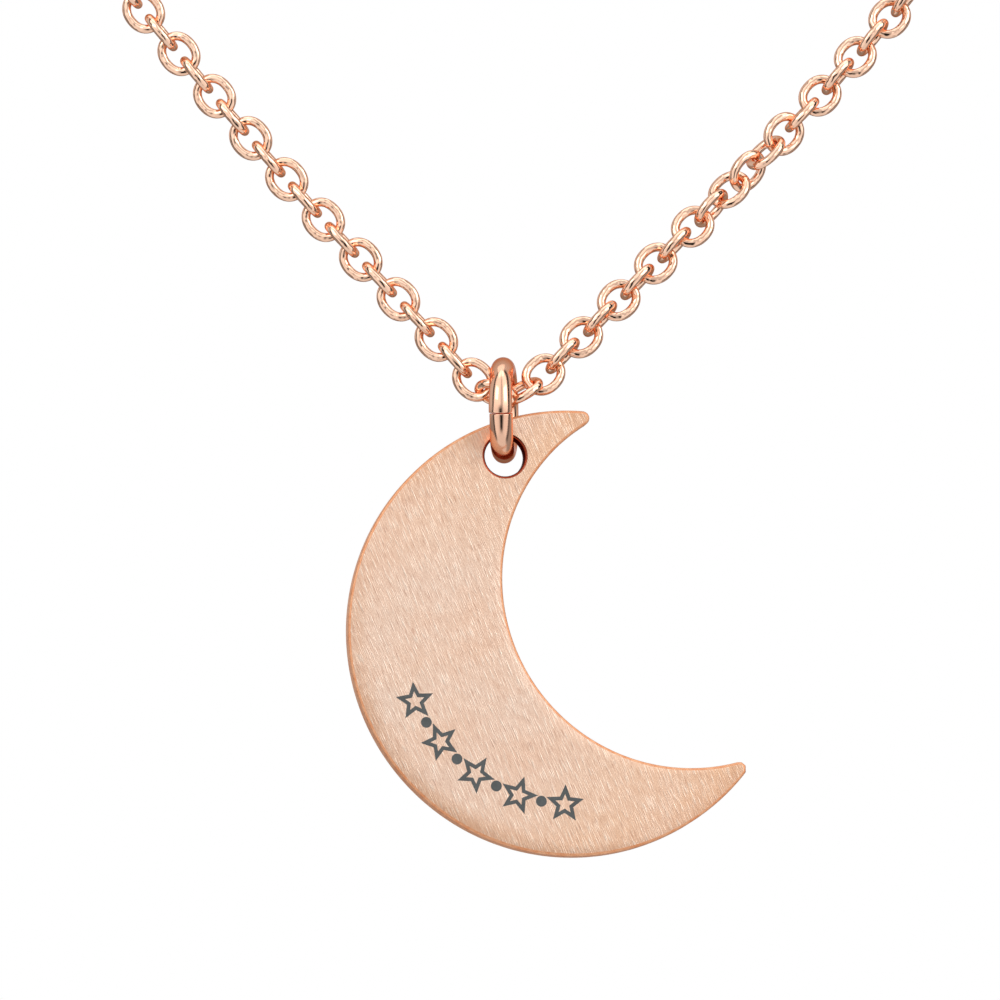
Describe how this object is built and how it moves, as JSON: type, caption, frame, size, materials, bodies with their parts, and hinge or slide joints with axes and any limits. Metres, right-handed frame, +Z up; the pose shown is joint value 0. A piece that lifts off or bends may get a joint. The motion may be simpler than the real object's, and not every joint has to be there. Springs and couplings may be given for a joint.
{
  "type": "pendant necklace",
  "caption": "Rose-gold cable chain necklace with a flat crescent pendant on a split ring and a sprung lobster clasp at the nape.",
  "frame": {"origin": "the nape, in the middle of the clasp, where the loop rests on the back of the neck", "axes": "+X to the right of someone facing the wearer, +Y from the pendant towards the wearer's back, +Z up"},
  "size_m": [0.1224, 0.111, 0.1248],
  "materials": {
    "chain": "polished rose gold",
    "split_ring": "polished rose gold",
    "crescent": "satin brushed rose gold, polished rim",
    "clasp": "polished rose gold",
    "steel": "spring steel"
  },
  "bodies": {
    "neck_loop": {"left_run": "chain", "right_run": "chain", "left_end_link": "chain", "right_end_link": "chain", "clasp_body": "clasp", "clasp_pin": "steel", "clasp_spring": "steel"},
    "left_link_19": {"left_link_19": "chain"},
    "left_link_18": {"left_link_18": "chain"},
    "left_link_17": {"left_link_17": "chain"},
    "left_link_16": {"left_link_16": "chain"},
    "left_link_15": {"left_link_15": "chain"},
    "left_link_14": {"left_link_14": "chain"},
    "left_link_13": {"left_link_13": "chain"},
    "left_link_12": {"left_link_12": "chain"},
    "left_link_11": {"left_link_11": "chain"},
    "left_link_10": {"left_link_10": "chain"},
    "left_link_09": {"left_link_09": "chain"},
    "left_link_08": {"left_link_08": "chain"},
    "left_link_07": {"left_link_07": "chain"},
    "left_link_06": {"left_link_06": "chain"},
    "left_link_05": {"left_link_05": "chain"},
    "left_link_04": {"left_link_04": "chain"},
    "left_link_03": {"left_link_03": "chain"},
    "left_link_02": {"left_link_02": "chain"},
    "left_link_01": {"left_link_01": "chain"},
    "left_link_00": {"left_link_00": "chain"},
    "centre_link_left": {"centre_link_left": "chain"},
    "centre_link_right": {"centre_link_right": "chain"},
    "right_link_00": {"right_link_00": "chain"},
    "right_link_01": {"right_link_01": "chain"},
    "right_link_02": {"right_link_02": "chain"},
    "right_link_03": {"right_link_03": "chain"},
    "right_link_04": {"right_link_04": "chain"},
    "right_link_05": {"right_link_05": "chain"},
    "right_link_06": {"right_link_06": "chain"},
    "right_link_07": {"right_link_07": "chain"},
    "right_link_08": {"right_link_08": "chain"},
    "right_link_09": {"right_link_09": "chain"},
    "right_link_10": {"right_link_10": "chain"},
    "right_link_11": {"right_link_11": "chain"},
    "right_link_12": {"right_link_12": "chain"},
    "right_link_13": {"right_link_13": "chain"},
    "right_link_14": {"right_link_14": "chain"},
    "right_link_15": {"right_link_15": "chain"},
    "right_link_16": {"right_link_16": "chain"},
    "right_link_17": {"right_link_17": "chain"},
    "right_link_18": {"right_link_18": "chain"},
    "right_link_19": {"right_link_19": "chain"},
    "right_link_20": {"right_link_20": "chain"},
    "split_ring": {"split_ring": "split_ring"},
    "crescent": {"crescent_plate": "crescent"},
    "lever": {"clasp_lever": "clasp"},
    "clasp_ring": {"clasp_ring": "clasp"},
    "end_ring": {"end_ring": "clasp"}
  },
  "joints": [
    {"name": "ring_sway", "type": "hinge", "parent": "neck_loop", "child": "split_ring", "pos_m": [0, -0.106, -0.1001], "axis": [0.9759, -0.2181, 0], "range_deg": [-36, 15]},
    {"name": "pendant_swing", "type": "hinge", "parent": "split_ring", "child": "crescent", "pos_m": [0, -0.106, -0.10259], "axis": [0, -1, 0], "range_deg": [-40, 3]},
    {"name": "lever_turn", "type": "hinge", "parent": "neck_loop", "child": "lever", "pos_m": [-0.0007, 0, 0.0002], "axis": [0, 1, 0], "range_deg": [0, 18], "stiffness_Nm_per_rad": 0.004, "springref_deg": -9.74, "deforming": ["clasp_spring"]},
    {"name": "clasp_ring_roll", "type": "hinge", "parent": "neck_loop", "child": "clasp_ring", "pos_m": [-0.0061, 0, 0], "axis": [1, 0, 0], "range_deg": [-10, 10]},
    {"name": "end_ring_roll", "type": "hinge", "parent": "neck_loop", "child": "end_ring", "pos_m": [0.00575, 0, 0], "axis": [1, 0, 0], "range_deg": [-10, 10]},
    {"name": "left_link_19_roll", "type": "hinge", "parent": "neck_loop", "child": "left_link_19", "pos_m": [-0.01844, -0.1028, -0.0793], "axis": [0.6198, -0.1245, -0.7748], "range_deg": [-12, 12]},
    {"name": "left_link_18_roll", "type": "hinge", "parent": "neck_loop", "child": "left_link_18", "pos_m": [-0.01757, -0.10297, -0.08038], "axis": [0.6217, -0.1196, -0.774], "range_deg": [-12, 12]},
    {"name": "left_link_17_roll", "type": "hinge", "parent": "neck_loop", "child": "left_link_17", "pos_m": [-0.01671, -0.10313, -0.08145], "axis": [0.6238, -0.115, -0.7731], "range_deg": [-12, 12]},
    {"name": "left_link_16_roll", "type": "hinge", "parent": "neck_loop", "child": "left_link_16", "pos_m": [-0.01584, -0.10329, -0.08253], "axis": [0.6264, -0.1112, -0.7716], "range_deg": [-12, 12]},
    {"name": "left_link_15_roll", "type": "hinge", "parent": "neck_loop", "child": "left_link_15", "pos_m": [-0.01496, -0.10344, -0.0836], "axis": [0.6294, -0.1084, -0.7695], "range_deg": [-12, 12]},
    {"name": "left_link_14_roll", "type": "hinge", "parent": "neck_loop", "child": "left_link_14", "pos_m": [-0.01408, -0.10359, -0.08467], "axis": [0.633, -0.1064, -0.7668], "range_deg": [-12, 12]},
    {"name": "left_link_13_roll", "type": "hinge", "parent": "neck_loop", "child": "left_link_13", "pos_m": [-0.0132, -0.10374, -0.08574], "axis": [0.6371, -0.1053, -0.7636], "range_deg": [-12, 12]},
    {"name": "left_link_12_roll", "type": "hinge", "parent": "neck_loop", "child": "left_link_12", "pos_m": [-0.01231, -0.10389, -0.0868], "axis": [0.6416, -0.1052, -0.7598], "range_deg": [-12, 12]},
    {"name": "left_link_11_roll", "type": "hinge", "parent": "neck_loop", "child": "left_link_11", "pos_m": [-0.01142, -0.10403, -0.08784], "axis": [0.6466, -0.1059, -0.7554], "range_deg": [-12, 12]},
    {"name": "left_link_10_roll", "type": "hinge", "parent": "neck_loop", "child": "left_link_10", "pos_m": [-0.01054, -0.10418, -0.08887], "axis": [0.652, -0.1075, -0.7506], "range_deg": [-12, 12]},
    {"name": "left_link_09_roll", "type": "hinge", "parent": "neck_loop", "child": "left_link_09", "pos_m": [-0.00964, -0.10433, -0.08989], "axis": [0.6577, -0.1099, -0.7452], "range_deg": [-12, 12]},
    {"name": "left_link_08_roll", "type": "hinge", "parent": "neck_loop", "child": "left_link_08", "pos_m": [-0.00874, -0.10448, -0.0909], "axis": [0.6639, -0.1132, -0.7392], "range_deg": [-12, 12]},
    {"name": "left_link_07_roll", "type": "hinge", "parent": "neck_loop", "child": "left_link_07", "pos_m": [-0.00783, -0.10463, -0.09191], "axis": [0.6694, -0.1167, -0.7337], "range_deg": [-12, 12]},
    {"name": "left_link_06_roll", "type": "hinge", "parent": "neck_loop", "child": "left_link_06", "pos_m": [-0.00691, -0.1048, -0.09291], "axis": [0.6727, -0.1197, -0.7302], "range_deg": [-12, 12]},
    {"name": "left_link_05_roll", "type": "hinge", "parent": "neck_loop", "child": "left_link_05", "pos_m": [-0.00599, -0.10496, -0.0939], "axis": [0.6736, -0.1222, -0.7289], "range_deg": [-12, 12]},
    {"name": "left_link_04_roll", "type": "hinge", "parent": "neck_loop", "child": "left_link_04", "pos_m": [-0.00508, -0.10513, -0.0949], "axis": [0.6723, -0.1241, -0.7298], "range_deg": [-12, 12]},
    {"name": "left_link_03_roll", "type": "hinge", "parent": "neck_loop", "child": "left_link_03", "pos_m": [-0.00415, -0.1053, -0.09591], "axis": [0.6687, -0.1254, -0.7329], "range_deg": [-12, 12]},
    {"name": "left_link_02_roll", "type": "hinge", "parent": "neck_loop", "child": "left_link_02", "pos_m": [-0.00323, -0.10548, -0.09693], "axis": [0.6625, -0.1263, -0.7384], "range_deg": [-12, 12]},
    {"name": "left_link_01_roll", "type": "hinge", "parent": "neck_loop", "child": "left_link_01", "pos_m": [-0.00232, -0.10565, -0.09795], "axis": [0.6537, -0.1265, -0.7461], "range_deg": [-12, 12]},
    {"name": "left_link_00_roll", "type": "hinge", "parent": "neck_loop", "child": "left_link_00", "pos_m": [-0.00139, -0.10582, -0.09894], "axis": [0.7055, -0.1201, -0.6984], "range_deg": [-8, 8]},
    {"name": "centre_link_left_roll", "type": "hinge", "parent": "neck_loop", "child": "centre_link_left", "pos_m": [-0.00027, -0.10595, -0.09965], "axis": [0.9382, -0.0724, -0.3385], "range_deg": [-6, 6]},
    {"name": "centre_link_right_roll", "type": "hinge", "parent": "neck_loop", "child": "centre_link_right", "pos_m": [0.00097, -0.10595, -0.0995], "axis": [0.8433, 0.0702, 0.5328], "range_deg": [-6, 6]},
    {"name": "right_link_00_roll", "type": "hinge", "parent": "neck_loop", "child": "right_link_00", "pos_m": [0.00208, -0.10582, -0.09862], "axis": [0.7058, 0.1164, 0.6988], "range_deg": [-8, 8]},
    {"name": "right_link_01_roll", "type": "hinge", "parent": "neck_loop", "child": "right_link_01", "pos_m": [0.00306, -0.10565, -0.09764], "axis": [0.6984, 0.1228, 0.7051], "range_deg": [-12, 12]},
    {"name": "right_link_02_roll", "type": "hinge", "parent": "neck_loop", "child": "right_link_02", "pos_m": [0.00402, -0.10548, -0.09667], "axis": [0.6988, 0.1223, 0.7048], "range_deg": [-12, 12]},
    {"name": "right_link_03_roll", "type": "hinge", "parent": "neck_loop", "child": "right_link_03", "pos_m": [0.00499, -0.10531, -0.09569], "axis": [0.699, 0.1213, 0.7048], "range_deg": [-12, 12]},
    {"name": "right_link_04_roll", "type": "hinge", "parent": "neck_loop", "child": "right_link_04", "pos_m": [0.00595, -0.10515, -0.09472], "axis": [0.6989, 0.1196, 0.7051], "range_deg": [-12, 12]},
    {"name": "right_link_05_roll", "type": "hinge", "parent": "neck_loop", "child": "right_link_05", "pos_m": [0.0069, -0.10498, -0.09376], "axis": [0.6987, 0.1175, 0.7057], "range_deg": [-12, 12]},
    {"name": "right_link_06_roll", "type": "hinge", "parent": "neck_loop", "child": "right_link_06", "pos_m": [0.00786, -0.10483, -0.09279], "axis": [0.6982, 0.1147, 0.7067], "range_deg": [-12, 12]},
    {"name": "right_link_07_roll", "type": "hinge", "parent": "neck_loop", "child": "right_link_07", "pos_m": [0.00882, -0.10467, -0.09182], "axis": [0.6974, 0.1114, 0.7079], "range_deg": [-12, 12]},
    {"name": "right_link_08_roll", "type": "hinge", "parent": "neck_loop", "child": "right_link_08", "pos_m": [0.00977, -0.10452, -0.09085], "axis": [0.6965, 0.1076, 0.7095], "range_deg": [-12, 12]},
    {"name": "right_link_09_roll", "type": "hinge", "parent": "neck_loop", "child": "right_link_09", "pos_m": [0.01073, -0.10438, -0.08988], "axis": [0.6951, 0.1037, 0.7114], "range_deg": [-12, 12]},
    {"name": "right_link_10_roll", "type": "hinge", "parent": "neck_loop", "child": "right_link_10", "pos_m": [0.01168, -0.10424, -0.0889], "axis": [0.693, 0.1008, 0.7138], "range_deg": [-12, 12]},
    {"name": "right_link_11_roll", "type": "hinge", "parent": "neck_loop", "child": "right_link_11", "pos_m": [0.01262, -0.1041, -0.08793], "axis": [0.6903, 0.0988, 0.7167], "range_deg": [-12, 12]},
    {"name": "right_link_12_roll", "type": "hinge", "parent": "neck_loop", "child": "right_link_12", "pos_m": [0.01356, -0.10397, -0.08695], "axis": [0.6869, 0.0979, 0.7201], "range_deg": [-12, 12]},
    {"name": "right_link_13_roll", "type": "hinge", "parent": "neck_loop", "child": "right_link_13", "pos_m": [0.0145, -0.10383, -0.08595], "axis": [0.6827, 0.098, 0.7241], "range_deg": [-12, 12]},
    {"name": "right_link_14_roll", "type": "hinge", "parent": "neck_loop", "child": "right_link_14", "pos_m": [0.01545, -0.10369, -0.08494], "axis": [0.6778, 0.0991, 0.7285], "range_deg": [-12, 12]},
    {"name": "right_link_15_roll", "type": "hinge", "parent": "neck_loop", "child": "right_link_15", "pos_m": [0.01639, -0.10355, -0.08392], "axis": [0.6721, 0.1013, 0.7335], "range_deg": [-12, 12]},
    {"name": "right_link_16_roll", "type": "hinge", "parent": "neck_loop", "child": "right_link_16", "pos_m": [0.01732, -0.10341, -0.0829], "axis": [0.6656, 0.1046, 0.7389], "range_deg": [-12, 12]},
    {"name": "right_link_17_roll", "type": "hinge", "parent": "neck_loop", "child": "right_link_17", "pos_m": [0.01824, -0.10326, -0.08187], "axis": [0.6584, 0.1089, 0.7448], "range_deg": [-12, 12]},
    {"name": "right_link_18_roll", "type": "hinge", "parent": "neck_loop", "child": "right_link_18", "pos_m": [0.01915, -0.10311, -0.08083], "axis": [0.6503, 0.1143, 0.751], "range_deg": [-12, 12]},
    {"name": "right_link_19_roll", "type": "hinge", "parent": "neck_loop", "child": "right_link_19", "pos_m": [0.02004, -0.10294, -0.07978], "axis": [0.6416, 0.1206, 0.7575], "range_deg": [-12, 12]},
    {"name": "right_link_20_roll", "type": "hinge", "parent": "neck_loop", "child": "right_link_20", "pos_m": [0.02093, -0.10277, -0.07872], "axis": [0.6328, 0.127, 0.7638], "range_deg": [-12, 12]}
  ]
}
